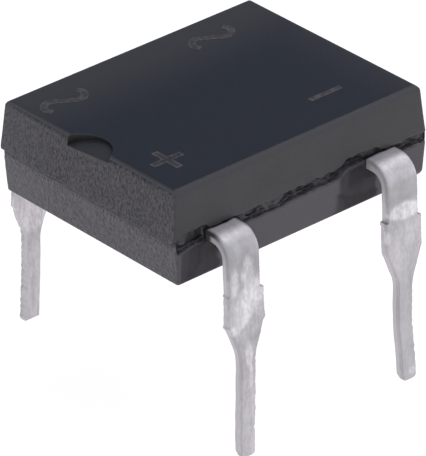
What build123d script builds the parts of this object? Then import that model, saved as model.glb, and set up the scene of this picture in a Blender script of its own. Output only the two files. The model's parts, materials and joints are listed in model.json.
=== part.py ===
from build123d import *
import os
from math import cos, radians, sin, tan

# Bridge rectifier in a four-lead moulded package, in millimetres.
# The part stands on its lead tips at Z = 0. X runs along the body, with the index notch
# at the -X end. The two direct-current leads are in the row at -Y, the two
# alternating-current leads in the row at +Y.

# Moulded body
body_length = 8.20
body_width = 6.44
upper_height = 1.33          # top face above the top of the leads
lower_height = 1.215         # underside below the top of the leads
upper_draft = 4.8            # degrees
lower_draft = 3.3            # degrees
parting_step = 0.05          # the lower half is shorter by this at each end
mould_shift = 0.05           # the lower half sits this far towards +X
flash_groove = 0.12          # depth of the groove along the long sides, between the leads
top_radius = 0.16
corner_radius = 0.05         # upright edges of the upper half
lower_radius = 0.06          # edges of the lower half
notch_radius = 0.80
notch_reach = 0.53           # from the top edge of the end face inwards
notch_depth = 0.22

# Leads
lead_thickness = 0.25
lead_pitch = 5.16
lead_drop = 6.00             # from the top of the leads down to their tips
shoulder_width = 0.96
bend_standoff = 0.19         # straight run between the body and the bend
bend_radius = 0.35           # inside of the bend
lead_splay = 2.2             # degrees, both rows lean outwards
stub_proud = 0.07            # cut ends of the dam bar, on both edges of a lead
stub_start = 1.56            # below the top of the leads
stub_length = 0.82
stub_slope = 0.17            # the stub's lower end falls back over this length
trim_shift = 0.03            # stubs, taper and tip are cut this far towards +X of the shoulder
taper_length = 0.70          # from the stubs down to the narrow tip
taper_blend = 1.00           # radius where the taper runs into the tip
tip_width = 0.41
tip_corner = 0.08
tip_bevel = 0.14             # sheared edge on the inner face of the tip
lean_length = 1.50           # the last part of a lead that is bent sideways
positive_lean = -0.10        # at the tip, towards +X
negative_lean = 0.07
ac_1_lean = -0.06

# Diode dies and the pads that hold them
die_size = 1.30
die_thickness = 0.25
mesa_size = 1.08
mesa_height = 0.10
mesa_slope = 30.0            # degrees
solder_thickness = 0.05
die_offset = 1.15            # die centres from the body's centre lines
pad_width = 1.50
pad_gap = 0.40               # between neighbouring pads
ramp_inset = 0.35            # from the body's side to the step in the lead
ramp_run = 0.30

# Levels and places that follow from these sizes
lead_top = lead_drop
lead_bottom = lead_top - lead_thickness
half_width = body_width / 2
lead_x = lead_pitch / 2
half_shoulder = shoulder_width / 2
half_pad = pad_width / 2
stack_height = die_thickness + 2 * solder_thickness
stack_middle = lead_top - lead_thickness / 2
stack_bottom = stack_middle - stack_height / 2
stack_top = stack_middle + stack_height / 2
pad_rise = (stack_height + lead_thickness) / 2
ramp_start = half_width - ramp_inset
ramp_end = ramp_start - ramp_run
pad_end = die_offset + half_pad


def rectangle_between(x_low, x_high, y_low, y_high):
    """Add a rectangle to the open sketch, given by its sides."""
    with Locations(((x_low + x_high) / 2, (y_low + y_high) / 2)):
        Rectangle(x_high - x_low, y_high - y_low)


def row_plane(side, x):
    """An upright plane just inside the body's side at one row, with its axes along X and Z."""
    just_inside = side * (half_width - ramp_inset / 2)
    return Plane(origin=(x, just_inside, 0), x_dir=(1, 0, 0), z_dir=(0, -1, 0))


def side_plane(side):
    """The section across one row, with its x axis pointing out of the body and y along Z."""
    return Plane(origin=(0, 0, 0), x_dir=(0, side, 0), z_dir=(side, 0, 0))


def tail_outline(plane, lean):
    """The flat outline of a lead outside the body: shoulder, stubs, taper and tip."""
    stub_top = lead_top - stub_start
    stub_bottom = stub_top - stub_length
    taper_top = stub_bottom - stub_slope
    taper_foot = taper_top - taper_length
    taper_edge = trim_shift + half_shoulder
    stub_edge = taper_edge + stub_proud
    tip_edge = trim_shift + tip_width / 2
    with BuildSketch(plane) as outline:
        rectangle_between(-half_shoulder, half_shoulder, stub_top, lead_top + lead_thickness)
        with BuildLine():
            Polyline(
                (trim_shift, stub_top),
                (stub_edge, stub_top),
                (stub_edge, stub_bottom),
                (taper_edge, taper_top),
            )
            FilletPolyline(
                (taper_edge, taper_top),
                (tip_edge, taper_foot),
                (tip_edge, lean_length),
                radius=taper_blend,
            )
            Line((tip_edge, lean_length), (trim_shift, lean_length))
            mirror(about=Plane.YZ.offset(trim_shift))
        make_face()
        with BuildLine():
            Polyline(
                (tip_edge - tip_width, lean_length),
                (tip_edge - tip_width + lean, 0),
                (tip_edge + lean, 0),
                (tip_edge, lean_length),
                close=True,
            )
        make_face()
        fillet(outline.vertices().group_by(Axis.Y)[0], radius=tip_corner)
    return outline.sketch


def lead_section(plane, rise):
    """The lead's section from its pad, over the step and the bend, to its tip."""
    splay = radians(lead_splay)
    bend_start = half_width + bend_standoff
    bend_centre = lead_bottom - bend_radius
    outer_radius = bend_radius + lead_thickness
    outer_turn = (bend_start + outer_radius * cos(splay), bend_centre + outer_radius * sin(splay))
    inner_turn = (bend_start + bend_radius * cos(splay), bend_centre + bend_radius * sin(splay))
    outer_tip = outer_turn[0] + outer_turn[1] * tan(splay)
    inner_tip = inner_turn[0] + inner_turn[1] * tan(splay)
    bevel_top = inner_tip - tip_bevel * tan(splay)
    with BuildSketch(plane) as section:
        with BuildLine():
            Polyline(
                (-pad_end, lead_top + rise),
                (ramp_end, lead_top + rise),
                (ramp_start, lead_top),
                (bend_start, lead_top),
            )
            TangentArc((bend_start, lead_top), outer_turn, tangent=(1, 0))
            Polyline(
                outer_turn,
                (outer_tip, 0),
                (inner_tip + tip_bevel, 0),
                (bevel_top, tip_bevel),
                inner_turn,
            )
            TangentArc((bend_start, lead_bottom), inner_turn, tangent=(1, 0))
            Polyline(
                (bend_start, lead_bottom),
                (ramp_start, lead_bottom),
                (ramp_end, lead_bottom + rise),
                (-pad_end, lead_bottom + rise),
                (-pad_end, lead_top + rise),
            )
        make_face()
    return section.sketch


def build_lead(label, side, x, rise, pad_sides, lean=0.0):
    """Stamp one lead with its inner pad out of a strip that is bent to the lead's section."""
    with BuildPart() as blank:
        with BuildSketch(Plane.XY.offset(lead_bottom - pad_rise)):
            outer = side * (half_width + bend_standoff)
            inner = side * (ramp_end - ramp_run)
            rectangle_between(x - half_shoulder, x + half_shoulder, min(outer, inner), max(outer, inner))
            for sides in pad_sides:
                rectangle_between(*sides)
        extrude(amount=lead_thickness + 2 * pad_rise)
        extrude(tail_outline(row_plane(side, x), lean), amount=-side * lead_drop)
    with BuildPart() as lead:
        extrude(lead_section(side_plane(side), rise), amount=body_length / 2, both=True)
        add(blank.part, mode=Mode.INTERSECT)
    lead.part.label = label
    return lead.part


# Positive and negative leads: each pad is a bar along Y above the dies
positive_pad = [
    (-lead_x - half_shoulder, half_pad - die_offset, -ramp_end, -die_offset),
    (-pad_end, half_pad - die_offset, -ramp_end, pad_end),
]
negative_pad = [
    (die_offset - half_pad, lead_x + half_shoulder, -ramp_end, -die_offset),
    (die_offset - half_pad, pad_end, -ramp_end, pad_end),
]
# Alternating-current leads: each pad is a bar along X below the dies
ac_1_pad = [
    (-lead_x - half_shoulder, half_shoulder - lead_x, die_offset, ramp_end),
    (-lead_x - half_shoulder, pad_end, die_offset - half_pad, pad_end),
]
ac_2_pad = [
    (pad_end + pad_gap, lead_x + half_shoulder, -pad_end, ramp_end),
    (-pad_end, lead_x + half_shoulder, -pad_end, half_pad - die_offset),
]
leads = [
    build_lead("lead_positive", -1, -lead_x, pad_rise, positive_pad, lean=positive_lean),
    build_lead("lead_negative", -1, lead_x, pad_rise, negative_pad, lean=negative_lean),
    build_lead("lead_ac_1", 1, -lead_x, -pad_rise, ac_1_pad, lean=ac_1_lean),
    build_lead("lead_ac_2", 1, lead_x, -pad_rise, ac_2_pad),
]

# Four dies with a solder layer on each face. The mesa side is the anode: it faces
# down on the positive pad's dies and up on the negative pad's dies.
dies = []
solder_layers = []
for dc_name, x, mesa_up in (("positive", -die_offset, False), ("negative", die_offset, True)):
    for ac_name, y in (("ac_1", die_offset), ("ac_2", -die_offset)):
        up = 1 if mesa_up else -1
        cathode_level = stack_bottom if mesa_up else stack_top
        cathode = Plane(origin=(x, y, cathode_level), x_dir=(1, 0, 0), z_dir=(0, 0, up))
        die_plane = cathode.offset(solder_thickness)
        with BuildPart() as cathode_solder:
            with BuildSketch(cathode):
                Rectangle(die_size, die_size)
            extrude(amount=solder_thickness)
        cathode_solder.part.label = f"cathode_solder_{dc_name}_{ac_name}"
        with BuildPart() as die:
            with BuildSketch(die_plane):
                Rectangle(die_size, die_size)
            extrude(amount=die_thickness - mesa_height)
            with BuildSketch(die_plane.offset(die_thickness - mesa_height)):
                Rectangle(mesa_size, mesa_size)
            extrude(amount=mesa_height, taper=mesa_slope)
        die.part.label = f"diode_die_{dc_name}_{ac_name}"
        with BuildPart() as anode_solder:
            mesa_top = mesa_size - 2 * mesa_height * tan(radians(mesa_slope))
            with BuildSketch(die_plane.offset(die_thickness)):
                Rectangle(mesa_top, mesa_top)
            extrude(amount=solder_thickness)
        anode_solder.part.label = f"anode_solder_{dc_name}_{ac_name}"
        dies.append(die.part)
        solder_layers += [cathode_solder.part, anode_solder.part]

# Moulded body: two drafted halves on either side of the leads, with the lead-thick band
# between them set back along the long sides. The upper half is drawn at Z = 0 and lifted.
lower_length = body_length - 2 * parting_step
with BuildPart() as upper_half:
    with BuildSketch():
        Rectangle(body_length, body_width)
    extrude(amount=upper_height, taper=upper_draft)
    fillet(upper_half.faces().sort_by(Axis.Z)[-1].edges(), radius=top_radius)
    uprights = upper_half.edges().filter_by_position(Axis.Z, 0, upper_height / 2, inclusive=(False, True))
    fillet(uprights, radius=corner_radius)
    with BuildSketch(Plane.XY.offset(upper_height)):
        top_edge = body_length / 2 - upper_height * tan(radians(upper_draft))
        with Locations((notch_reach - notch_radius - top_edge, 0)):
            Circle(notch_radius)
    extrude(amount=-notch_depth, mode=Mode.SUBTRACT)
with BuildPart() as lower_half:
    with BuildSketch(Plane((mould_shift, 0, lead_bottom), x_dir=(1, 0, 0), z_dir=(0, 0, -1))):
        Rectangle(lower_length, body_width)
    extrude(amount=lower_height - lead_thickness, taper=lower_draft)
    fillet(lower_half.edges() - lower_half.edges().group_by(Axis.Z)[-1], radius=lower_radius)
with BuildPart() as moulded_body:
    with BuildSketch(Plane.XY.offset(lead_bottom)):
        with Locations((mould_shift, 0)):
            Rectangle(lower_length, body_width - 2 * flash_groove)
    extrude(amount=lead_thickness)
    add(Pos(Z=lead_top) * upper_half.part)
    add(lower_half.part)
    for piece in leads + dies + solder_layers:
        add(piece, mode=Mode.SUBTRACT)
moulded_body.part.label = "moulded_body"

os.makedirs("parts", exist_ok=True)
for piece in [moulded_body.part] + leads + dies + solder_layers:
    export_step(piece, f"parts/{piece.label}.step")
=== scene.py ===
import json
from collections import namedtuple
from math import atan, cos, floor, pi, radians, sin, sqrt, tan

import bmesh
import bpy
from mathutils import Matrix, Quaternion, Vector, noise


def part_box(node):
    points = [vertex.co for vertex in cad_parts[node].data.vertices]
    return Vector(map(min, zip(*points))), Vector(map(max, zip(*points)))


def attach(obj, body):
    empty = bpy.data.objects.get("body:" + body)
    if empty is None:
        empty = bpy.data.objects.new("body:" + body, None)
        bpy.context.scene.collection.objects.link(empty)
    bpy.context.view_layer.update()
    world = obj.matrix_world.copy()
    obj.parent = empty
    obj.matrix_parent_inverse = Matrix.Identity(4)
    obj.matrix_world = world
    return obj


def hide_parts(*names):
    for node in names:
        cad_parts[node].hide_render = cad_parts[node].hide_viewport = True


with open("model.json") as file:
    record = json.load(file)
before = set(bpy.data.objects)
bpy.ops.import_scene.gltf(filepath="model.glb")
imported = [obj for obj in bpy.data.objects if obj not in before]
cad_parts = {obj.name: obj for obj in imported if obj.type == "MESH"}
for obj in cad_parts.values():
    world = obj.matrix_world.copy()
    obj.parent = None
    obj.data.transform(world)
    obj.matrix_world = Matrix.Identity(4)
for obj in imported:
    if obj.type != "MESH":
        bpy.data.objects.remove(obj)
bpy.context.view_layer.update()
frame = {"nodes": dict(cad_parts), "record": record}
nodes = frame["nodes"]
mounts = {mount["name"]: Vector(mount["pos_m"]) for mount in frame["record"]["mounts"]}

# Lengths below are in millimetres, and meshes are written in metres.
MM = 0.001
PER_MM = 1 / MM

# Sizes read from the frame
body_low, body_high = (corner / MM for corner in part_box("moulded_body"))
half_length = (body_high.x - body_low.x) / 2
half_width = (body_high.y - body_low.y) / 2
body_top = body_high.z
body_bottom = body_low.z
lead_x = mounts["pin_negative"].x / MM

# Moulded body
upper_height = 1.33          # top face above the top of the leads
upper_draft = radians(4.8)
lower_draft = radians(3.3)
parting_step = 0.05          # the lower half is shorter by this at each end
mould_shift = 0.05           # the lower half sits this far towards +X
flash_groove = 0.12          # depth of the groove along the long sides
broken_extra = 0.03          # its broken flash lies this much deeper
broken_gain = 0.05           # and this much more along half of each side
lump_height = 0.09           # crumbs on the broken flash
over_lead_depth = 0.11       # depth of the groove above a lead
pocket_rough = 0.045         # unevenness of the pockets beside the leads
least_groove = 0.015         # the groove is nowhere shallower
plain_lift = 0.060           # the upper half's edge is broken back by this away from the leads
lead_lift = 0.045            # and by this above them
top_radius = 0.16
upper_corner = 0.05          # upright corners of the upper half
lower_corner = 0.06          # and of the lower half
bottom_radius = 0.06
edge_radius = 0.025          # edges beside the groove
seam_start = 0.02            # the step at the ends starts this far below the upper half
seam_end = 0.08              # and ends here
seam_line = 0.10             # the dark line on the ends, flash with painted shade under the step, lies this far down, and fades over as much
chip_reach = 0.42            # chips in the edges beside the groove fade out over this height
worn_radius = 0.22           # the rubbed bottom corner at +X, -Y
worn_start = 0.7             # its wear starts this far from the corner
worn_full = 0.1              # and is full here
cap_inset = 0.06             # flat rim between a rounded edge and the face inside it
notch_radius = 0.80
notch_reach = 0.53           # from the top edge of the end face inwards
notch_depth = 0.22
notch_lean = 0.085           # the notch's floor falls by this per millimetre towards +Y
notch_rise = 0.20            # and rises by this per millimetre from the end face inwards
notch_chamfer = 0.02
notch_foot = 0.003           # the corner at the foot of the notch's wall is broken by this
notch_segments = 160
notch_crease = radians(30)   # edges of the notch sharper than this are shaded crisp
level_step = 0.032           # between levels of the side walls
long_step = 0.055            # between points along a long side
end_step = 0.030             # between points across an end face
corner_steps = 5             # points round an upright corner
arc_steps = 8                # levels in the rounded top edge
foot_steps = 6               # and in the rounded bottom edge
edge_shares = (0.3, 0.0)     # levels in an edge beside the groove, in shares of its radius
ledge_shares = (0.85, 0.25)  # levels on the ledge below the groove, in shares of its depth
grain_height = 0.011         # rough finish of the end faces
grain_rest = 0.7             # the finish lies this share of its height inside the plain face
mark_room = 0.006            # the marks rise by this to the top of the box

# Leads
lead_thickness = 0.25
shoulder_width = 0.96
bend_standoff = 0.19         # level run outside the body
bend_radius = 0.35           # inside the bend
lead_splay = radians(2.2)
stub_proud = 0.07
stub_start = 1.56            # below the top of the leads
stub_length = 0.82
stub_slope = 0.17
stub_crisp = 0.012           # a stub's top edge falls over this
stub_tear = 0.012            # unevenness of the cut stubs
taper_length = 0.70
taper_blend = 1.00           # radius between the taper and the tip
tip_width = 0.41
tip_corner = 0.08
tip_bevel = 0.14
nick_depth = 0.012           # long waves in the cut edges
tooth_depth = 0.020          # short teeth in the right edge
rolled_edge = 0.022          # the right edge is rolled out by this below the stubs
face_swell = 0.004           # waves in the faces
burnished_resin_shade = (0.20, 0.50)  # epoxy and painted shade on burnished edges fade out between these, from the body
torn_edge_resin_shade = (0.06, 0.20)    # and on the rest of the cut edges between these
lead_root = 0.30             # the outer part of a lead starts this far inside the body
lead_crease = radians(38)    # edges of a lead sharper than this are shaded crisp

body_face = body_top - mark_room
lead_top = body_top - upper_height
lead_bottom = lead_top - lead_thickness
half_shoulder = shoulder_width / 2
half_tip = tip_width / 2
stub_top = lead_top - stub_start
stub_foot = stub_top - stub_length


def blend_between(low, high, value):
    """A smooth step from 0 at low to 1 at high."""
    share = min(1.0, max(0.0, (value - low) / (high - low)))
    return share * share * (3 - 2 * share)


def waver(seed, *places):
    """Smooth noise from about -1 to 1 at one or two places, each in millimetres times a rate."""
    first, second = (list(places) + [0.0])[:2]
    return noise.noise(Vector((first, second, seed * 7.31 + 0.5)))


def make_object(name, points, faces, attributes=None):
    """A smooth mesh object from points in millimetres, with one float attribute per entry."""
    mesh = bpy.data.meshes.new(name)
    mesh.from_pydata([(x * MM, y * MM, z * MM) for x, y, z in points], [], faces)
    for label, values in (attributes or {}).items():
        layer = mesh.attributes.new(label, "FLOAT", "POINT")
        layer.data.foreach_set("value", values)
    mesh.shade_smooth()
    mesh.validate()
    piece = bpy.data.objects.new(name, mesh)
    bpy.context.scene.collection.objects.link(piece)
    return piece


def stand_for(piece, node, material):
    """Dress a new piece and let it stand for a CAD node."""
    piece.data.materials.append(material)
    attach(piece, "root")
    if node:
        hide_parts(node)


def rings_to_faces(ring_count, ring_size):
    """Quads between closed rings, with a face over the first ring and one under the last."""
    faces = []
    for ring in range(ring_count - 1):
        upper = ring * ring_size
        lower = upper + ring_size
        for place in range(ring_size):
            after = (place + 1) % ring_size
            faces.append((upper + place, lower + place, lower + after, upper + after))
    faces.append(tuple(range(ring_size)))
    last = (ring_count - 1) * ring_size
    faces.append(tuple(last + place for place in reversed(range(ring_size))))
    return faces


# Materials
class Nodes:
    """A node tree being written: a principled shader and short ways to feed it."""

    def __init__(self, name):
        self.material = bpy.data.materials.new(name)
        self.material.use_nodes = True
        self.tree = self.material.node_tree
        self.shader = self.tree.nodes["Principled BSDF"]
        self.place = self.add("ShaderNodeTexCoord").outputs["Object"]

    def add(self, kind, **settings):
        node = self.tree.nodes.new(kind)
        for key, value in settings.items():
            setattr(node, key, value)
        return node

    def feed(self, socket, source):
        """Link a socket to another, or set its value."""
        if isinstance(source, bpy.types.NodeSocket):
            self.tree.links.new(source, socket)
        else:
            socket.default_value = source

    def noise(self, per_mm, detail=2.0, stretch=(1, 1, 1), roughness=0.5):
        """Noise with so many features per millimetre, drawn out along an axis by a small stretch."""
        mapping = self.add("ShaderNodeMapping")
        self.feed(mapping.inputs["Vector"], self.place)
        mapping.inputs["Scale"].default_value = [per_mm * PER_MM * share for share in stretch]
        texture = self.add("ShaderNodeTexNoise")
        self.feed(texture.inputs["Vector"], mapping.outputs["Vector"])
        texture.inputs["Scale"].default_value = 1.0
        texture.inputs["Detail"].default_value = detail
        texture.inputs["Roughness"].default_value = roughness
        return texture.outputs["Fac"]

    def spread(self, source, low, high, new_low=0.0, new_high=1.0):
        """Map a range smoothly onto another, clamped."""
        node = self.add("ShaderNodeMapRange", interpolation_type="SMOOTHSTEP")
        values = (source, low, high, new_low, new_high)
        for key, value in zip(("Value", "From Min", "From Max", "To Min", "To Max"), values):
            self.feed(node.inputs[key], value)
        return node.outputs["Result"]

    def mix(self, share, first, second):
        """Mix two colours."""
        node = self.add("ShaderNodeMix", data_type="RGBA")
        for key, value in zip(("Factor_Float", "A_Color", "B_Color"), (share, first, second)):
            socket = next(item for item in node.inputs if item.identifier == key)
            self.feed(socket, value)
        return next(item for item in node.outputs if item.identifier == "Result_Color")

    def maths(self, operation, first, second):
        node = self.add("ShaderNodeMath", operation=operation)
        self.feed(node.inputs[0], first)
        self.feed(node.inputs[1], second)
        return node.outputs["Value"]

    def attribute(self, label):
        return self.add("ShaderNodeAttribute", attribute_name=label).outputs["Fac"]

    def ramp_along(self, direction, low, high):
        """A share that grows from 0 to 1 between two places, in millimetres along a direction."""
        node = self.add("ShaderNodeVectorMath", operation="DOT_PRODUCT")
        self.feed(node.inputs[0], self.place)
        self.feed(node.inputs[1], Vector(direction).normalized())
        return self.spread(node.outputs["Value"], low * MM, high * MM)

    def facing_up(self):
        """How far the surface faces up, from -1 to 1."""
        normal = self.add("ShaderNodeNewGeometry").outputs["Normal"]
        parts = self.add("ShaderNodeSeparateXYZ")
        self.feed(parts.inputs["Vector"], normal)
        return parts.outputs["Z"]

    def bump(self, height, distance, strength=1.0):
        """Bump of a depth in millimetres."""
        node = self.add("ShaderNodeBump")
        node.inputs["Distance"].default_value = distance * MM
        node.inputs["Strength"].default_value = strength
        self.feed(node.inputs["Height"], height)
        self.feed(self.shader.inputs["Normal"], node.outputs["Normal"])

    def finish(self, **sockets):
        """Set or link sockets of the shader, given as words with underscores for spaces."""
        for key, value in sockets.items():
            self.feed(self.shader.inputs[key.replace("_", " ")], value)
        return self.material


def grey(level, tint=(1.0, 1.0, 1.0)):
    """A linear colour near a grey level."""
    return [level * share for share in tint] + [1.0]


def epoxy_material():
    """Black moulding compound: a satin top tinted blue, partly as a painted reflection, plain sides,
    rough pale end faces and dark flash, with painted highlights on the rounded edges and on
    upward-facing flash, and painted shade in the pockets by the leads and under the step on the ends.
    """
    build = Nodes("epoxy")
    up = build.facing_up()
    top = build.spread(up, 0.72, 0.99)
    lower = build.attribute("lower_half")
    end = build.attribute("end_face")
    flash = build.attribute("flash")
    mottle = build.spread(build.noise(1.1, detail=4.0), 0.3, 0.7)
    specks = build.spread(build.noise(26.0, detail=1.0), 0.5, 0.75)
    # The top is dark moulding compound tinted blue, partly a painted reflection of the bluish
    # surroundings, and is painted lighter and browner towards the back and towards +X.
    towards_back = build.ramp_along((0, 1, 0), 0.3, 3.0)
    towards_right = build.ramp_along((1, 0, 0), 2.3, 5.4)
    towards_back_right = build.maths("MAXIMUM", towards_back, towards_right)
    top_colour = build.mix(towards_back_right, grey(0.009, (0.9, 1.0, 1.25)), grey(0.031, (1.08, 1.0, 0.86)))
    side_colour = build.mix(mottle, grey(0.005, (1.0, 0.97, 1.05)), grey(0.009, (1.02, 0.97, 1.04)))
    side_colour = build.mix(lower, side_colour, grey(0.026, (1.04, 0.95, 1.05)))
    pits = build.spread(build.noise(20.0, detail=4.0, stretch=(1, 1, 0.55), roughness=0.65), 0.36, 0.64)
    end_upper = build.mix(pits, grey(0.007, (1.0, 0.97, 1.0)), grey(0.061, (1.04, 0.98, 1.0)))
    end_lower = build.mix(pits, grey(0.007, (1.0, 0.96, 1.02)), grey(0.057, (1.03, 0.96, 1.02)))
    # The end faces are painted lighter towards the back.
    end_towards_back = build.maths("MULTIPLY", build.ramp_along((0, 1, 0), 0.8, 3.2), 0.2)
    end_colour = build.mix(end_towards_back, build.mix(lower, end_upper, end_lower), grey(0.09))
    side_colour = build.mix(end, side_colour, end_colour)
    colour = build.mix(top, side_colour, top_colour)
    # The rounded edges between the top and the long sides are made rougher and painted a lighter
    # blue-grey, a painted soft highlight.
    off_wall = build.spread(up, 0.15, 0.5)
    off_top = build.spread(up, 0.97, 0.999, 1.0, 0.0)
    off_end = build.spread(end, 0.0, 1.0, 1.0, 0.0)
    rounded = build.maths("MULTIPLY", build.maths("MULTIPLY", off_wall, off_top), off_end)
    colour = build.mix(rounded, colour, grey(0.022, (0.97, 1.0, 1.05)))
    # The top edges of the end faces are painted pale, a painted highlight.
    end_rim_highlight = build.maths("MULTIPLY", end, build.spread(up, 0.55, 0.85))
    colour = build.mix(end_rim_highlight, colour, grey(0.070))
    colour = build.mix(build.maths("MULTIPLY", specks, 0.05), colour, grey(0.16))
    crumbs = build.spread(build.noise(8.0, detail=3.0), 0.45, 0.68)
    broken = build.mix(crumbs, grey(0.010), grey(0.028, (1.08, 1.0, 0.92)))
    # Broken flash is dark; where it faces up it is painted lighter, a painted highlight from above.
    lit_crumb_tops = build.mix(crumbs, grey(0.040), grey(0.090, (1.05, 1.0, 0.96)))
    colour = build.mix(flash, colour, build.mix(build.spread(up, 0.2, 0.9), broken, lit_crumb_tops))
    gloss = build.spread(lower, 0.0, 1.0, 0.30, 0.05)
    rough = build.maths("ADD", gloss, build.spread(end, 0.0, 1.0, 0.0, 0.32))
    rough = build.maths("ADD", rough, build.spread(flash, 0.0, 1.0, 0.0, 0.12))
    rough = build.maths("ADD", rough, build.maths("MULTIPLY", rounded, 0.4))
    build.bump(build.noise(32.0, detail=3.0), 0.003, strength=0.4)
    return build.finish(Base_Color=colour, Roughness=rough, Specular_IOR_Level=0.5)


def tin_material():
    """Tin-plated strip: matt faces with drawn-out smears, burnished cut edges painted darker as a
    painted reflection, torn cut edges, and epoxy on the root with painted shade along the cut edges
    near the body.
    """
    build = Nodes("tinned_lead")
    tint = (1.01, 0.985, 0.975)
    draw = build.noise(3.0, detail=4.0, stretch=(1, 1, 0.25), roughness=0.6)
    cloud = build.noise(1.6, detail=4.0, roughness=0.6)
    grain = build.noise(14.0, detail=3.0, stretch=(1, 1, 0.5))
    colour = build.mix(build.spread(draw, 0.36, 0.66), grey(0.37, tint), grey(0.43, tint))
    colour = build.mix(build.spread(cloud, 0.42, 0.68, 0.0, 0.5), colour, grey(0.33, tint))
    colour = build.mix(build.spread(grain, 0.35, 0.65, 0.0, 0.30), colour, grey(0.52, tint))
    smear = build.maths("MULTIPLY", build.attribute("smear"), build.spread(draw, 0.32, 0.62, 0.5, 1.0))
    smear = build.maths("MULTIPLY", smear, build.spread(grain, 0.35, 0.60, 0.6, 1.0))
    dull = build.maths("MULTIPLY", build.attribute("dull"), build.spread(cloud, 0.35, 0.60, 0.6, 1.0))
    colour = build.mix(dull, colour, grey(0.27, tint))
    colour = build.mix(smear, colour, grey(0.74, tint))
    # Burnished cut edges and their rolled rims are painted darker, a painted reflection of the dark
    # body that also leaves a thin dark line along each edge.
    colour = build.mix(build.attribute("burnish_reflection"), colour, grey(0.29, tint))
    colour = build.mix(build.attribute("torn"), colour, grey(0.47, tint))
    # The root is painted near-black: epoxy on its top face, and painted shade from the pockets along
    # its cut edges.
    colour = build.mix(build.attribute("resin_and_shade"), colour, grey(0.012))
    rough = build.spread(cloud, 0.3, 0.7, 0.42, 0.52)
    build.bump(grain, 0.006, strength=0.6)
    return build.finish(Base_Color=colour, Metallic=0.4, Roughness=rough, Specular_IOR_Level=0.3)


def mark_material():
    """Laser-marked moulding compound, paler and browner than the face around it."""
    build = Nodes("laser_mark")
    patches = build.spread(build.noise(7.0, detail=3.0), 0.35, 0.65)
    line = build.mix(patches, grey(0.045, (1.04, 1.0, 1.0)), grey(0.078, (1.03, 1.0, 1.0)))
    inside = build.mix(patches, grey(0.024, (0.95, 1.0, 1.1)), grey(0.042, (1.04, 1.0, 1.0)))
    colour = build.mix(build.attribute("rim"), inside, line)
    build.bump(build.noise(30.0, detail=2.0), 0.003, strength=0.5)
    return build.finish(Base_Color=colour, Roughness=0.72, Specular_IOR_Level=0.25)


def silicon_material():
    """Lapped silicon, dark grey with a faint blue cast and fine scratches."""
    build = Nodes("silicon_die")
    scratches = build.spread(build.noise(20.0, stretch=(1, 0.1, 1)), 0.35, 0.65)
    colour = build.mix(scratches, grey(0.10, (0.95, 1.0, 1.1)), grey(0.14, (0.95, 1.0, 1.08)))
    rough = build.spread(scratches, 0.0, 1.0, 0.30, 0.42)
    return build.finish(Base_Color=colour, Roughness=rough)


def solder_material():
    """Reflowed solder, grey and slightly clouded."""
    build = Nodes("solder_layer")
    cloud = build.spread(build.noise(6.0, detail=4.0), 0.35, 0.65)
    colour = build.mix(cloud, grey(0.42), grey(0.58, (1.0, 1.0, 1.02)))
    rough = build.spread(cloud, 0.0, 1.0, 0.30, 0.5)
    return build.finish(Base_Color=colour, Metallic=1.0, Roughness=rough)


epoxy = epoxy_material()
tin = tin_material()

# Moulded body: closed rings from the top face down, each a rounded rectangle.
# side_inset draws a level's long sides in, and groove is its share of the broken flash's depth.
Level = namedtuple("Level", "z half_x half_y corner shift side_inset groove")
Pocket = namedtuple("Pocket", "edge reach depth")
Chip = namedtuple("Chip", "start full end gone rise")


def wall_levels(high, low):
    """Heights from high to low, evenly spaced at about the level step."""
    count = max(1, round((high - low) / level_step))
    return [high + (low - high) * step / count for step in range(count + 1)]


def upper_level(z, inset, side_inset=0.0):
    return Level(z, half_length - inset, half_width - inset, upper_corner, 0.0, side_inset, 0.0)


def lower_level(z, inset, side_inset=0.0):
    half_x = half_length - parting_step - inset
    return Level(z, half_x, half_width - inset, lower_corner, mould_shift, side_inset, 0.0)


def seam_level(z):
    """A level between the two halves, where the ends step from one to the other."""
    share = blend_between(seam_start, seam_end, lead_top - z)
    half_x = half_length - parting_step * share
    return Level(z, half_x, half_width, upper_corner, mould_shift * share, 0.0, 1.0)


def body_levels():
    """Every level of the body from the middle of its top face to the middle of its underside."""
    arc_centre = body_face - top_radius
    arc_inset = (top_radius + (arc_centre - lead_top) * sin(upper_draft)) / cos(upper_draft)
    levels = [upper_level(body_face, arc_inset + cap_inset)]
    for step in range(arc_steps + 1):
        turn = pi / 2 + (upper_draft - pi / 2) * step / arc_steps
        inset = arc_inset - top_radius * cos(turn)
        levels.append(upper_level(arc_centre + top_radius * sin(turn), inset))
    wall_top = arc_centre + top_radius * sin(upper_draft)
    for z in wall_levels(wall_top, lead_top + edge_radius)[1:]:
        levels.append(upper_level(z, (z - lead_top) * tan(upper_draft)))
    for share in edge_shares:
        levels.append(upper_level(lead_top + edge_radius * share, 0.0, edge_radius * (1 - share)))
    levels += [seam_level(z) for z in wall_levels(lead_top, lead_bottom)]
    for groove in ledge_shares:
        levels.append(lower_level(lead_bottom, 0.0, edge_radius)._replace(groove=groove))
    for share in reversed(edge_shares):
        levels.append(lower_level(lead_bottom - edge_radius * share, 0.0, edge_radius * (1 - share)))
    wall_foot = body_bottom + bottom_radius
    for z in wall_levels(lead_bottom - edge_radius, wall_foot):
        levels.append(lower_level(z, (lead_bottom - z) * tan(lower_draft)))
    foot_inset = (lead_bottom - wall_foot) * tan(lower_draft)
    for step in range(1, foot_steps + 1):
        turn = pi / 2 * step / foot_steps
        inset = foot_inset + bottom_radius * (1 - cos(turn))
        levels.append(lower_level(wall_foot - bottom_radius * sin(turn), inset))
    levels.append(lower_level(body_bottom, foot_inset + bottom_radius + cap_inset))
    return levels


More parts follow.
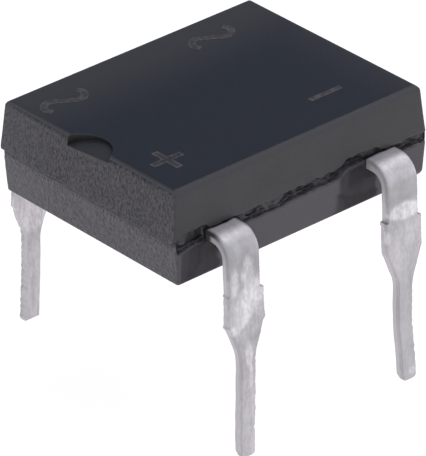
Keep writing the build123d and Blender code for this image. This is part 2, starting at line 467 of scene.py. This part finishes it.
def level_plan(level):
    """Plan points of one level, counter-clockwise from its front left corner, with outward angles."""
    signs = ((1, -1), (1, 1), (-1, 1), (-1, -1))
    reach_x = level.half_x - level.corner
    reach_y = level.half_y - level.corner
    corners = [Vector((sx * reach_x + level.shift, sy * reach_y)) for sx, sy in signs]
    counts = (round(2 * half_length / long_step), round(2 * half_width / end_step))
    plan = []
    for side in range(4):
        outward = (side - 1) * pi / 2
        start = corners[side - 1]
        end = corners[side]
        count = counts[side % 2]
        offset = level.corner * Vector((cos(outward), sin(outward)))
        for step in range(1, count):
            plan.append((start + (end - start) * step / count + offset, outward))
        for step in range(corner_steps + 1):
            turn = outward + pi / 2 * step / corner_steps
            plan.append((end + level.corner * Vector((cos(turn), sin(turn))), turn))
    return plan


def lead_pockets(row):
    """The edges of the leads in one row, with the pocket that has broken out beside each."""
    reaches = {-1: (0.45, 0.25, 0.80, 0.20), 1: (0.20, 0.35, 0.30, 0.25)}[row]
    depths = {-1: (0.17, 0.22, 0.25, 0.20), 1: (0.22, 0.26, 0.24, 0.22)}[row]
    edges = [middle + side for middle in (-lead_x, lead_x) for side in (-half_shoulder, half_shoulder)]
    return [Pocket(*pocket) for pocket in zip(edges, reaches, depths)]


def groove_relief(x, z, row):
    """How deep the broken flash lies at one place, and how strongly its dark colour is painted there,
    most in the pockets beside the leads as painted shade.
    """
    open_share = 0.0
    pocket_depth = 0.0
    for pocket in lead_pockets(row):
        share = 1 - blend_between(pocket.reach * 0.7, pocket.reach * 1.3, abs(x - pocket.edge))
        if share > open_share:
            open_share = share
            pocket_depth = pocket.depth
    if abs(abs(x) - lead_x) < half_shoulder:
        open_share = 1.0
        pocket_depth = over_lead_depth
    crumbly = blend_between(-0.35, 0.35, waver(5 + row, x * 1.4))
    coarse = 0.6 * waver(1 + row, x * 4.5, z * 4)
    fine = (0.1 + 0.4 * crumbly) * waver(3 + row, x * 11, z * 11)
    deeper = broken_extra + broken_gain * blend_between(-0.7, 0.1, -row * x)
    rough_depth = flash_groove + deeper - lump_height * (coarse + fine)
    pocket_depth += pocket_rough * waver(7 + row, x * 7, z * 6)
    depth = rough_depth + (pocket_depth - rough_depth) * open_share
    filled = 0.5 * blend_between(half_length - 0.5, half_length - 0.15, -row * x)
    # Flash colour is painted at 0.8, and fully in the pockets beside the leads as painted shade; less
    # where the groove is filled near the ends.
    dark = (0.8 + 0.2 * open_share) * (1 - 0.7 * filled)
    return max(least_groove, depth * (1 - filled)), dark


# Chips in the upper half's edge on the front row, each beside the left edge of a lead
left_lead = -lead_x - half_shoulder
right_lead = lead_x - half_shoulder
front_chips = [
    Chip(-half_length, left_lead - 0.3, left_lead, left_lead + 0.1, 0.12),
    Chip(right_lead - 0.95, right_lead - 0.6, right_lead + 0.2, right_lead + 0.7, 0.17),
]
# Flash left on the lower half beside the right one
front_fill = Chip(right_lead - 0.95, right_lead - 0.6, right_lead, right_lead + 0.1, 0.17)


def chip_rise(x, chip):
    """How far a chip or a fill moves an edge up at one place along the body."""
    begun = blend_between(chip.start, chip.full, x)
    return chip.rise * begun * (1 - blend_between(chip.end, chip.gone, x))


def edge_lift(x, row):
    """How far the upper half's lower edge is broken back, with its chips."""
    beside = blend_between(half_shoulder, half_shoulder + 0.15, abs(abs(x) - lead_x))
    lift = lead_lift + (plain_lift - lead_lift) * beside
    if row < 0:
        lift += sum(chip_rise(x, chip) for chip in front_chips)
    coarse = 0.060 * waver(8 + row, x * 5)
    fine = 0.040 * waver(9 + row, x * 14)
    return lift + (coarse + fine) * (0.35 + 0.65 * beside)


def edge_drop(x, row):
    """How far the lower half's upper edge is chipped down."""
    coarse = 0.030 * waver(12 + row, x * 7)
    fine = 0.020 * waver(14 + row, x * 17)
    if row > 0:
        return coarse + fine
    corner_chip = 0.08 * (1 - blend_between(-half_length, 0.7 - half_length, x))
    raised = 0.045 * blend_between(-0.8, -0.2, x) + chip_rise(x, front_fill)
    return corner_chip - raised + coarse + fine


def seam_shift(x, z, row):
    """How far chips in the two edges beside the groove move one place up or down."""
    if z >= lead_top:
        return edge_lift(x, row) * max(0.0, 1 - (z - lead_top) / chip_reach)
    if z <= lead_bottom:
        return -edge_drop(x, row) * max(0.0, 1 - (lead_bottom - z) / chip_reach)
    share = (z - lead_bottom) / lead_thickness
    return edge_lift(x, row) * share - edge_drop(x, row) * (1 - share)


def end_seam(y, z):
    """How far the irregular seam on an end face moves one place up or down, and how dark it is painted:
    flash with painted shade under the step.
    """
    near = max(0.0, 1 - abs(z - lead_top) / chip_reach)
    coarse = 0.060 * waver(16, y * 3)
    fine = 0.035 * waver(17, y * 9)
    line = max(0.0, 1 - abs(z - lead_top + seam_line) / seam_line)
    return near * (coarse + fine), line * (1.2 + 0.9 * waver(18, y * 4))


def end_grain(y, z):
    """Spark-eroded finish of an end face: pits drawn out upright, with finer grain between them."""
    pits = waver(20, y * 10, z * 7)
    fine = waver(21, y * 19, z * 14)
    return 0.5 * pits + 0.6 * fine


def corner_wear(x, y, z):
    """How far the abraded bottom corner draws a place in."""
    height = min(worn_radius, max(0.0, z - body_bottom))
    round_in = worn_radius - sqrt(worn_radius ** 2 - (worn_radius - height) ** 2)
    along = blend_between(half_length - worn_start, half_length - worn_full, x)
    return round_in * along * blend_between(worn_start - half_width, worn_full - half_width, y)


def body_point(level, plan_point, outward):
    """One point of the body with its finish, and its shares of end face, flash and lower half; the
    flash share carries painted shade in the pockets and along the end seam.
    """
    x, y = plan_point
    z = level.z
    row = -1 if y < 0 else 1
    on_long_side = sin(outward) ** 2
    on_end = cos(outward) ** 2
    inset = level.side_inset
    flash = 0.0
    if level.groove:
        depth, dark = groove_relief(x, z, row)
        inset += max(0.0, depth - inset) * level.groove
        flash = dark * on_long_side
    wear = corner_wear(x, y, z)
    x -= wear
    y += wear - row * inset * on_long_side
    seam_move, seam_flash_shade = end_seam(y, z)
    # On the end faces the seam is painted dark: flash, with painted shade under the step.
    flash = max(flash, seam_flash_shade * on_end)
    z += seam_shift(x, z, row) * on_long_side + seam_move * on_end
    flat = blend_between(body_face - top_radius * 0.25, body_face, z)
    under = 1 - blend_between(body_bottom, body_bottom + bottom_radius, z)
    share = on_end * (1 - flat) * (1 - under)
    on_wall = 1 - blend_between(body_top - top_radius, body_top - top_radius * 0.5, z)
    x += grain_height * (end_grain(y, z) * on_wall - grain_rest) * share * (1 if x > 0 else -1)
    lower = 1 - blend_between(lead_bottom, lead_top, z)
    return (x, y, z), share, flash, lower


def cut_notch(body):
    """Cut the half-moon index notch out of the top edge of the -X end."""
    end_x = upper_height * tan(upper_draft) - half_length
    centre_x = end_x + notch_reach - notch_radius
    turns = [2 * pi * step / notch_segments for step in range(notch_segments)]
    floor_z = body_top - notch_depth
    # Radius, height and share of the floor's slopes, from the top down
    rings = (
        (notch_radius + 2 * notch_chamfer, body_top + notch_chamfer, 0.0),
        (notch_radius, body_top - notch_chamfer, 0.0),
        (notch_radius, body_top - 1.5 * notch_chamfer, 0.0),
        (notch_radius, floor_z + notch_foot, 1.0),
        (notch_radius - notch_foot, floor_z, 1.0),
    )
    points = []
    for radius, z, at_floor in rings:
        for turn in turns:
            x = centre_x + radius * cos(turn)
            y = radius * sin(turn)
            points.append((x, y, z + at_floor * (notch_rise * (x - end_x) - notch_lean * y)))
    cutter = make_object("notch_cutter", points, rings_to_faces(len(rings), notch_segments))
    modifier = body.modifiers.new("notch", "BOOLEAN")
    modifier.object = cutter
    modifier.solver = "EXACT"
    cut = bpy.data.meshes.new_from_object(body.evaluated_get(bpy.context.evaluated_depsgraph_get()))
    body.modifiers.clear()
    body.data = cut
    bpy.data.objects.remove(cutter)
    shaped = bmesh.new()
    shaped.from_mesh(cut)
    middle = Vector((centre_x, 0, body_top)) * MM
    reach = (notch_radius + notch_depth) * MM
    for edge in shaped.edges:
        near = all((vertex.co - middle).length < reach for vertex in edge.verts)
        if near and edge.calc_face_angle(0.0) > notch_crease:
            edge.smooth = False
    shaped.to_mesh(cut)
    shaped.free()


def build_body():
    levels = body_levels()
    points = []
    attributes = {"end_face": [], "flash": [], "lower_half": []}
    for level in levels:
        plan = level_plan(level)
        for plan_point, outward in plan:
            point, *shares = body_point(level, plan_point, outward)
            points.append(point)
            for values, share in zip(attributes.values(), shares):
                values.append(share)
    faces = rings_to_faces(len(levels), len(plan))
    body = make_object("body_moulding", points, faces, attributes)
    cut_notch(body)
    stand_for(body, "moulded_body", epoxy)


build_body()

# Leads: sections along the bent strip, from inside the body to the tip
Station = namedtuple("Station", "out z turn half inner")
Smear = namedtuple("Smear", "z reach x spread strength lean", defaults=(0.0,))
Stub = namedtuple("Stub", "raised soft")
Tip = namedtuple("Tip", "trim corner")
Bend = namedtuple("Bend", "z offset")
Burr = namedtuple("Burr", "side z reach size")


def outline_half(z, corner):
    """Half a lead's width at a height below the bend, without stubs, for a tip with round corners."""
    taper_top = stub_foot - stub_slope
    taper_foot = taper_top - taper_length
    slope = atan((half_shoulder - half_tip) / taper_length)
    arc_foot = taper_foot - taper_blend * tan(slope / 2)
    arc_head = arc_foot + taper_blend * sin(slope)
    if z > taper_top:
        return half_shoulder
    if z > arc_head:
        return half_tip + (z - taper_foot) * tan(slope)
    if z > arc_foot:
        return half_tip + taper_blend - sqrt(taper_blend ** 2 - (z - arc_foot) ** 2)
    if z > corner:
        return half_tip
    return half_tip - corner + sqrt(corner ** 2 - (corner - z) ** 2)


def stub_share(z, raised, soft):
    """How far a stub that starts higher than usual, over a soft length, stands proud at a height."""
    if z > stub_foot:
        return blend_between(stub_top + raised, stub_top + raised - soft, z)
    return max(0.0, 1 - (stub_foot - z) / stub_slope)


def sideways(z, bends):
    """How far a lead's middle lies towards +X at a height, from the stubs down to the tip."""
    if z > stub_top:
        return 0.0
    offset = bends[0].offset
    for above, below in zip(bends, bends[1:]):
        offset += (below.offset - above.offset) * blend_between(above.z, below.z, z)
    return offset


def lead_stations(tip):
    """Sections of the strip: level run, bend and splayed leg down to the tip."""
    middle = lead_thickness / 2
    bend_start = half_width + bend_standoff
    centre_z = lead_bottom - bend_radius
    radius = bend_radius + middle
    stations = []
    run_steps = 18
    for step in range(run_steps):
        out = half_width - lead_root + (lead_root + bend_standoff) * step / run_steps
        stations.append(Station(out, lead_top - middle, pi / 2, half_shoulder, 0.0))
    bend_steps = 22
    for step in range(bend_steps):
        turn = pi / 2 + (lead_splay - pi / 2) * step / bend_steps
        out = bend_start + radius * cos(turn)
        stations.append(Station(out, centre_z + radius * sin(turn), turn, half_shoulder, 0.0))
    leg_out = bend_start + radius * cos(lead_splay)
    leg_top = centre_z + radius * sin(lead_splay)
    leg_step = 0.035
    heights = [leg_top - leg_step * step for step in range(floor((leg_top - tip_bevel) / leg_step))]
    # Close sections where a stub's top edge falls, at the usual place and raised, and round the tip
    heights += [stub_top + step * stub_crisp for step in (-1, 0, 1, 8, 9, 10)]
    heights += [tip_bevel * share for share in (1.0, 0.8, 0.6, 0.45, 0.3, 0.18, 0.08, 0.03, 0.0)]
    for z in sorted(heights, reverse=True):
        out = leg_out + (leg_top - z) * tan(lead_splay)
        turn = lead_splay * z / leg_top
        raised = tip.trim * max(0.0, 1 - z) ** 2
        half = outline_half(z, tip.corner)
        stations.append(Station(out, z + raised, turn, half, max(0.0, tip_bevel - z)))
    return stations


def cut_edge(half, foot, ragged):
    """One cut edge of the strip, outer face first, as across, through, burnish and torn."""
    top = lead_thickness / 2
    roll = 0.018             # rounding beside the outer face
    sheared = 0.45           # share of the thickness that is cut smooth
    least_torn = 0.02        # and what is torn at least
    torn_in = 0.004          # the torn part lies this far in
    foot_in = 0.003          # and its foot this much more
    edge = []
    for step, burnish_reflection in enumerate((0.2, 0.6, 0.7, 0.35), start=1):
        turn = pi / 2 * step / 4
        edge.append((half - roll + roll * sin(turn), top - roll + roll * cos(turn), burnish_reflection, 0.0))
    burnish_foot = max(foot + least_torn, top - sheared * lead_thickness)
    edge.append((half, top - 0.08, 0.12, 0.0))
    edge.append((half, burnish_foot, 0.05, 0.0))
    fracture = foot - burnish_foot
    for share in (0.15, 0.4, 0.65, 0.88):
        rough = ragged * waver(30, share * 3, half * 40)
        across = half - torn_in * min(1.0, share * 4) + rough
        edge.append((across, burnish_foot + fracture * share, 0.0, 1.0))
    edge.append((half - torn_in - foot_in, foot, 0.0, 0.3))
    return edge


def strip_section(left, right, inner, ragged):
    """Points round one section of the strip, from the left end of its outer face."""
    top = lead_thickness / 2
    foot = inner - top
    right_edge = cut_edge(right, foot, ragged)
    left_edge = [(-across, *rest) for across, *rest in reversed(cut_edge(left, foot, ragged))]
    spans = (
        (left_edge[-1][0], right_edge[0][0], top),
        (right_edge[-1][0], left_edge[0][0], foot),
    )
    face_steps = 12
    faces = []
    for start, end, through in spans:
        line = [start + (end - start) * step / face_steps for step in range(1, face_steps)]
        faces.append([(across, through, 0.0, 0.0) for across in line])
    return faces[0] + right_edge + faces[1] + left_edge


def smear_share(x, z, smears):
    """How far the strongest of some rubbed or dull patches shows at one place on a lead."""
    share = 0.0
    for smear in smears:
        ragged = 0.5 * waver(40, x * 9, z * 2.2)
        along = abs(z - smear.z) / smear.reach
        across = abs(x - smear.x - smear.lean * (z - smear.z)) / smear.spread
        away = along + 0.35 * across ** 2 + 0.4 * ragged
        share = max(share, smear.strength * (1 - blend_between(0.6, 1.1, away)))
    return share


def burr_reach(side, z, burrs):
    """How far burrs on one edge stand out at a height."""
    found = [burr for burr in burrs if burr.side == side]
    return sum(burr.size * (1 - blend_between(0.0, burr.reach, abs(z - burr.z))) for burr in found)


def faded(reach, out):
    """A share that falls from 1 to 0 between two distances out from the body."""
    near, far = reach
    return 1 - blend_between(half_width + near, half_width + far, out)


def lead_mesh(seed, row, place_x, bends, smears, dulls, burrs, resin_and_shade, left_stub, tip):
    """Points, faces and attributes of the part of one lead that stands out of the body."""
    points = []
    attributes = {"burnish_reflection": [], "torn": [], "smear": [], "dull": [], "resin_and_shade": []}
    for station in lead_stations(tip):
        z = station.z
        below_bend = blend_between(lead_top - 0.6, lead_top - 1.2, z)
        halves = []
        for side, start in ((-1, left_stub), (1, Stub(0.0, stub_crisp))):
            stub = stub_share(z, *start)
            nicks = nick_depth * waver(seed + side, z * 3)
            if side > 0:
                rolled = rolled_edge * blend_between(stub_foot, stub_foot - 0.5, z)
                nicks += tooth_depth * waver(seed + 3, z * 11) + rolled
            torn_end = stub_tear * stub * waver(seed + 2 * side, z * 9)
            proud = stub_proud * stub + torn_end + burr_reach(side, z, burrs)
            halves.append(station.half + proud + nicks * below_bend)
        right_stub = stub
        middle = place_x + sideways(z, bends)
        section = strip_section(*halves, station.inner, 0.008 + 0.014 * right_stub)
        # Epoxy darkens the root, and painted shade from the pockets darkens the cut edges farther out.
        near_body = resin_and_shade * faded(burnished_resin_shade, station.out)
        torn_resin_shade_share = resin_and_shade * faded(torn_edge_resin_shade, station.out)
        for across, through, burnish_reflection, torn in section:
            root = half_width - 0.02 + 0.05 * waver(seed + 7, across * 4)
            resin_shade_share = 1 - blend_between(root - 0.03, root + 0.03, station.out)
            swell = face_swell * waver(seed + 5, across * 5, z * 1.6)
            through += swell * (1 - burnish_reflection) * (1 if through > 0 else -1) * blend_between(0.0, 0.3, z)
            out = station.out + through * cos(station.turn)
            points.append((middle - row * across, row * out, z + through * sin(station.turn)))
            attributes["burnish_reflection"].append(burnish_reflection * (1 - 0.5 * right_stub))
            attributes["torn"].append(torn)
            attributes["smear"].append(smear_share(across, z, smears))
            attributes["dull"].append(smear_share(across, z, dulls))
            if burnish_reflection > 0.1:
                resin_shade_share = max(resin_shade_share, near_body)
            elif burnish_reflection + torn > 0:
                resin_shade_share = max(resin_shade_share, torn_resin_shade_share)
            attributes["resin_and_shade"].append(resin_shade_share)
    ring_size = len(section)
    faces = rings_to_faces(len(points) // ring_size, ring_size)
    return points, faces, attributes


def inner_part(node, row):
    """The part of a CAD lead inside the body, cut off where the outer part starts and closed there."""
    kept = bmesh.new()
    kept.from_mesh(nodes[node].data)
    same_place = 0.0001 * MM
    bmesh.ops.remove_doubles(kept, verts=kept.verts, dist=same_place)
    cut = Vector((0, row * (half_width - lead_root) * MM, 0))
    everything = kept.verts[:] + kept.edges[:] + kept.faces[:]
    bmesh.ops.bisect_plane(kept, geom=everything, plane_co=cut, plane_no=(0, row, 0), clear_outer=True)
    bmesh.ops.holes_fill(kept, edges=[edge for edge in kept.edges if edge.is_boundary])
    return kept


def build_lead(
    node, seed, bends, smears, burrs, dulls=(), resin_and_shade=0.5,
    left_stub=Stub(0.0, stub_crisp), tip=Tip(0.0, tip_corner),
):
    """One lead: the CAD pad inside the body and a finely shaped strip outside it."""
    mount = mounts[node.replace("lead", "pin")]
    row = 1 if mount.y > 0 else -1
    place_x = mount.x / MM
    points, faces, attributes = lead_mesh(
        seed, row, place_x, bends, smears, dulls, burrs, resin_and_shade, left_stub, tip
    )
    lead = make_object("tinned_" + node, points, faces, attributes)
    joined = inner_part(node, row)
    joined.from_mesh(lead.data)
    bmesh.ops.recalc_face_normals(joined, faces=joined.faces)
    for face in joined.faces:
        face.smooth = True
    for edge in joined.edges:
        edge.smooth = edge.calc_face_angle(0.0) < lead_crease
    joined.to_mesh(lead.data)
    joined.free()
    stand_for(lead, node, tin)


front_left_smears = [
    Smear(3.85, 0.70, 0.0, 0.70, 0.35),
    Smear(4.15, 0.75, 0.05, 0.30, 0.95, 0.45),
    Smear(3.62, 0.28, -0.30, 0.14, 0.9, 0.6),
    Smear(4.95, 0.55, 0.10, 0.14, 0.7),
    Smear(4.85, 0.45, -0.33, 0.10, 0.5),
    Smear(2.75, 0.45, 0.02, 0.08, 0.8),
    Smear(2.2, 0.40, 0.08, 0.04, 0.7),
    Smear(0.9, 1.3, 0.0, 0.6, 0.3),
]
front_right_smears = [
    Smear(3.75, 0.75, 0.05, 0.70, 0.25),
    Smear(4.72, 0.28, 0.06, 0.40, 1.0, -0.3),
    Smear(4.15, 0.25, -0.60, 0.045, 0.9),
    Smear(0.22, 0.12, 0.10, 0.08, 0.35),
]
front_left_dulls = [
    Smear(5.25, 0.75, 0.0, 0.90, 0.6),
    Smear(4.05, 0.40, -0.42, 0.18, 0.8),
    Smear(3.45, 0.40, 0.22, 0.25, 0.6),
]
front_right_dulls = [Smear(5.25, 0.35, 0.0, 0.90, 0.5)]
back_smears = [Smear(3.5, 0.8, 0.0, 0.9, 0.75), Smear(1.2, 1.8, 0.0, 0.6, 0.3)]
front_left_burrs = [
    Burr(-1, stub_foot + 0.45, 0.42, -0.012),
    Burr(-1, stub_foot, 0.10, 0.03),
    Burr(-1, stub_foot + 0.84, 0.05, 0.012),
    Burr(1, stub_foot + 0.03, 0.12, 0.025),
    Burr(1, 1.65, 0.12, 0.020),
    Burr(1, 1.25, 0.14, 0.018),
    Burr(1, 0.74, 0.07, -0.030),
]
front_right_burrs = [
    Burr(-1, stub_foot + 0.45, 0.60, 0.03),
    Burr(1, stub_foot + 0.05, 0.14, 0.02),
    Burr(1, 1.62, 0.06, 0.014),
    Burr(1, 1.38, 0.06, 0.014),
    Burr(1, 1.15, 0.07, 0.016),
    Burr(1, 0.90, 0.07, 0.016),
    Burr(1, 0.62, 0.08, 0.018),
]
back_burrs = [Burr(1, stub_foot + 0.04, 0.12, 0.02), Burr(1, stub_foot - 0.08, 0.10, -0.025)]
back_dulls = [Smear(1.2, 0.75, 0.02, 0.05, 0.7), Smear(3.95, 0.35, 0.53, 0.04, 0.9)]
build_lead(
    "lead_positive", 50, [Bend(2.9, 0.035), Bend(0.0, -0.08)],
    front_left_smears, front_left_burrs,
    dulls=front_left_dulls, resin_and_shade=0.9, left_stub=Stub(0.12, 0.30),
)
build_lead(
    "lead_negative", 60, [Bend(2.9, 0.035), Bend(1.8, 0.0), Bend(0.0, 0.095)],
    front_right_smears, front_right_burrs,
    dulls=front_right_dulls, resin_and_shade=0.3, left_stub=Stub(9 * stub_crisp, stub_crisp),
)
build_lead(
    "lead_ac_1", 70, [Bend(1.9, 0.035), Bend(0.0, 0.0)],
    back_smears, back_burrs, dulls=back_dulls, tip=Tip(0.16, 0.15),
)
build_lead(
    "lead_ac_2", 80, [Bend(1.9, 0.03), Bend(0.0, 0.03)],
    back_smears, back_burrs, dulls=back_dulls,
)

# Polarity marks on the top face: thin ribbons with a raised rim
stroke_half = 0.10           # half the width of a stroke
minus_half = 0.080           # and of the minus sign's
rim_width = 0.045
mark_steps = 9               # points between two knots of a line
mark_low = body_face - 0.01  # a sign starts inside the body
mark_floor = body_top - mark_room * 0.6
laser_mark = mark_material()


def smooth_line(knots):
    """Points on a smooth curve through the knots."""
    ends = [2 * knots[0] - knots[1]] + knots + [2 * knots[-1] - knots[-2]]
    line = []
    for before, start, end, after in zip(ends, ends[1:], ends[2:], ends[3:]):
        for step in range(mark_steps):
            t = step / mark_steps
            line.append(0.5 * (
                2 * start + (end - before) * t + (2 * before - 5 * start + 4 * end - after) * t ** 2
                + (3 * start - before - 3 * end + after) * t ** 3
            ))
    return line + [knots[-1]]


def drawn_in(line, margin):
    """A line with as many points, shorter by about a margin at both ends."""
    last = len(line) - 1
    total = sum((end - start).length for start, end in zip(line, line[1:]))
    cut = margin / total
    shortened = []
    for index in range(last + 1):
        place = last * cut + index * (1 - 2 * cut)
        before = min(floor(place), last - 1)
        shortened.append(line[before].lerp(line[before + 1], place - before))
    return shortened


def ribbon_outline(line, half):
    """The outline of a ribbon along a line."""
    left = []
    right = []
    last = len(line) - 1
    for index, middle in enumerate(line):
        ahead = (line[min(index + 1, last)] - line[max(index - 1, 0)]).normalized()
        aside = Vector((-ahead.y, ahead.x)) * half
        left.append(middle + aside)
        right.append(middle - aside)
    return right + left[::-1]


def cross_outline(centre, reach, half):
    """The twelve corners of a plus sign."""
    quarter = [Vector((half, half)), Vector((half, reach)), Vector((-half, reach))]
    turns = [Matrix.Rotation(turn * pi / 2, 2) for turn in range(4)]
    return [centre + turn @ corner for turn in turns for corner in quarter]


def finish_mark(name, points, faces, rims):
    """A sign from points in millimetres, with flat faces that look outwards."""
    mark = make_object(name, points, faces, {"rim": rims})
    shaped = bmesh.new()
    shaped.from_mesh(mark.data)
    bmesh.ops.recalc_face_normals(shaped, faces=shaped.faces)
    for face in shaped.faces:
        face.smooth = False
    shaped.to_mesh(mark.data)
    shaped.free()
    stand_for(mark, None, laser_mark)


def build_outlined(name, outer, inner, floor_rim=0.0):
    """A sign with a raised rim between two outlines and a shallow floor inside it."""
    rings = (
        (outer, mark_low, 1.0),
        (outer, body_top, 1.0),
        (inner, body_top, 1.0),
        (inner, mark_floor, floor_rim),
    )
    points = [(place.x, place.y, z) for outline, z, rim in rings for place in outline]
    rims = [rim for outline, z, rim in rings for place in outline]
    finish_mark(name, points, rings_to_faces(len(rings), len(outer)), rims)


def build_stroke(name, line, half=stroke_half, floor_rim=0.0):
    """A sign along a line, with a rim all round its shallow floor."""
    inner = ribbon_outline(drawn_in(line, rim_width), half - rim_width)
    build_outlined(name, ribbon_outline(line, half), inner, floor_rim)


def straight(start, end):
    """Points on a straight line."""
    return [start + (end - start) * step / mark_steps for step in range(mark_steps + 1)]


plus = Vector((-3.03, -1.77))
plus_reach = 0.47
build_outlined(
    "mark_plus",
    cross_outline(plus, plus_reach, stroke_half),
    cross_outline(plus, plus_reach - rim_width, stroke_half - rim_width),
)
minus = Vector((1.98, -1.87))
bar = 1.08 * Vector((plus_reach, 0))
build_stroke("mark_minus", straight(minus - bar, minus + bar), half=minus_half, floor_rim=0.8)
half_wave = [Vector(knot) for knot in ((0.33, -0.19), (0.56, -0.11), (0.65, 0.09), (0.57, 0.24))]
wave = [-knot for knot in reversed(half_wave)] + [Vector((0, 0))] + half_wave
wave_places = {"mark_wave_left": Vector((-2.95, 2.10)), "mark_wave_right": Vector((1.86, 2.15))}
for name, centre in wave_places.items():
    build_stroke(name, smooth_line([centre + knot for knot in wave]), floor_rim=0.6)

# Inner pieces keep their CAD shapes
silicon = silicon_material()
solder = solder_material()
for name, node in nodes.items():
    finish = {"diode": silicon, "cathode": solder, "anode": solder}.get(name.split("_")[0])
    if finish:
        node.data.materials.clear()
        node.data.materials.append(finish)


# Studio: a pale floor, soft light and the camera
paper_white = grey(1.0, (1.0, 0.965, 1.01))


def build_floor():
    build = Nodes("floor")
    haze = build.spread(build.noise(0.02), 0.3, 0.7)
    colour = build.mix(haze, grey(0.22), grey(0.25))
    paper = build.finish(
        Base_Color=colour, Roughness=0.9, Emission_Color=paper_white, Emission_Strength=0.90
    )
    side = 400.0
    points = [(-side, -side, 0), (side, -side, 0), (side, side, 0), (-side, side, 0)]
    ground = make_object("floor", points, [(0, 1, 2, 3)])
    ground.data.materials.append(paper)


def build_light(name, place, size, watts):
    """A square soft box that faces the middle of the body."""
    light = bpy.data.lights.new(name, "AREA")
    light.size = size * MM
    light.energy = watts
    light.color = paper_white[:3]
    box = bpy.data.objects.new(name, light)
    target = Vector((0, 0, (body_top + body_bottom) / 2))
    place = Vector(place)
    box.location = place * MM
    box.rotation_mode = "QUATERNION"
    box.rotation_quaternion = (target - place).to_track_quat("-Z", "Y")
    bpy.context.scene.collection.objects.link(box)


def build_world():
    world = bpy.data.worlds.new("studio")
    world.use_nodes = True
    sky = world.node_tree.nodes["Background"]
    sky.inputs["Color"].default_value = (0.66, 0.79, 1.12, 1.0)
    sky.inputs["Strength"].default_value = 0.28
    bpy.context.scene.world = world


def build_camera():
    azimuth = radians(-41.307)
    elevation = radians(29.822)
    roll = radians(-0.475)
    target = Vector((-0.7225, -0.782, 4.145))
    distance = 143.94
    lens = bpy.data.cameras.new("camera")
    lens.sensor_width = 36.0
    lens.lens = 466.2
    lens.clip_start = 1.0 * MM
    lens.clip_end = 2000.0 * MM
    camera = bpy.data.objects.new("camera", lens)
    back = Vector((sin(azimuth) * cos(elevation), -cos(azimuth) * cos(elevation), sin(elevation)))
    camera.location = (target + back * distance) * MM
    camera.rotation_mode = "QUATERNION"
    camera.rotation_quaternion = (-back).to_track_quat("-Z", "Y") @ Quaternion((0, 0, 1), roll)
    bpy.context.scene.collection.objects.link(camera)
    bpy.context.scene.camera = camera


build_floor()
build_world()
build_light("left_box", (-70, -35, 45), 60, 0.040)
build_light("front_box", (25, -80, 45), 60, 0.015)
build_light("key_box", (57, -6, 81), 75, 0.056)
build_light("right_card", (75, -43, 18), 50, 0.020)
build_camera()
bpy.context.scene.view_settings.view_transform = "Standard"
